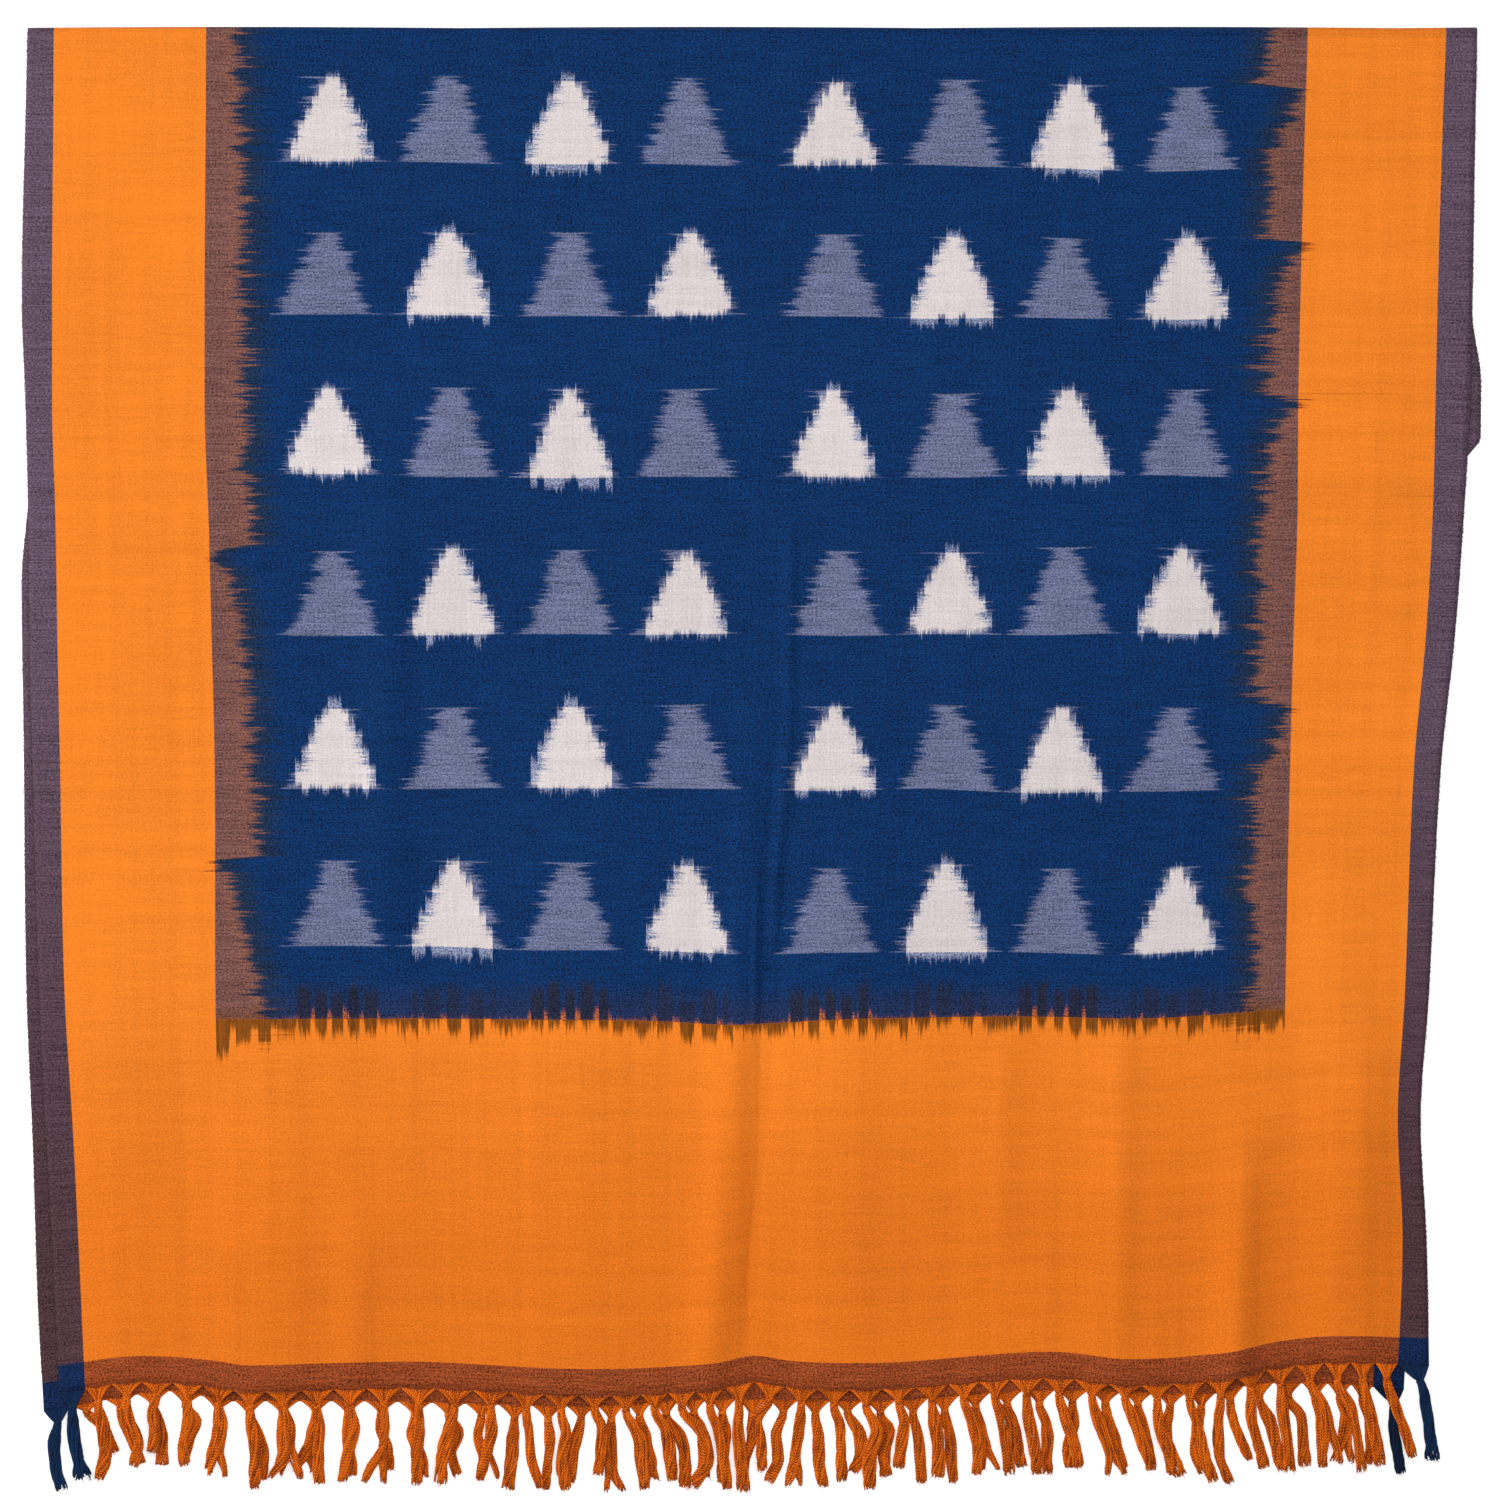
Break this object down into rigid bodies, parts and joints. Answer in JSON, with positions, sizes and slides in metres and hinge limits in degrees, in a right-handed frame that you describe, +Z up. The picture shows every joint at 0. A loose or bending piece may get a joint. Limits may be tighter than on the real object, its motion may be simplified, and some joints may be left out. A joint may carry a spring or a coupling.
{
  "type": "folded handwoven cotton ikat shawl with triangle motifs",
  "caption": "Long rectangular handwoven cotton shawl, folded in half and laid flat, with plain borders, a double-ikat field of triangles and knotted tassel fringes.",
  "frame": {"origin": "middle of the box round the folded shawl, on the surface that it lies on", "axes": "+Z up out of the surface, through the thin layers; +Y towards the fold; X across the woven width"},
  "size_m": [1.1302, 1.1346, 0.0091],
  "materials": {
    "ikat_cotton": "plain-woven cotton, blue, orange and white, matte",
    "orange_yarn": "soft twisted cotton yarn, matte",
    "blue_yarn": "soft twisted cotton yarn, matte"
  },
  "bodies": {
    "root": {"shawl_cloth": "ikat_cotton", "front_fringe": "orange_yarn", "back_fringe": "orange_yarn", "front_tassel_left": "blue_yarn", "front_tassel_right": "blue_yarn", "back_tassel_left": "blue_yarn", "back_tassel_right": "blue_yarn"}
  },
  "joints": []
}
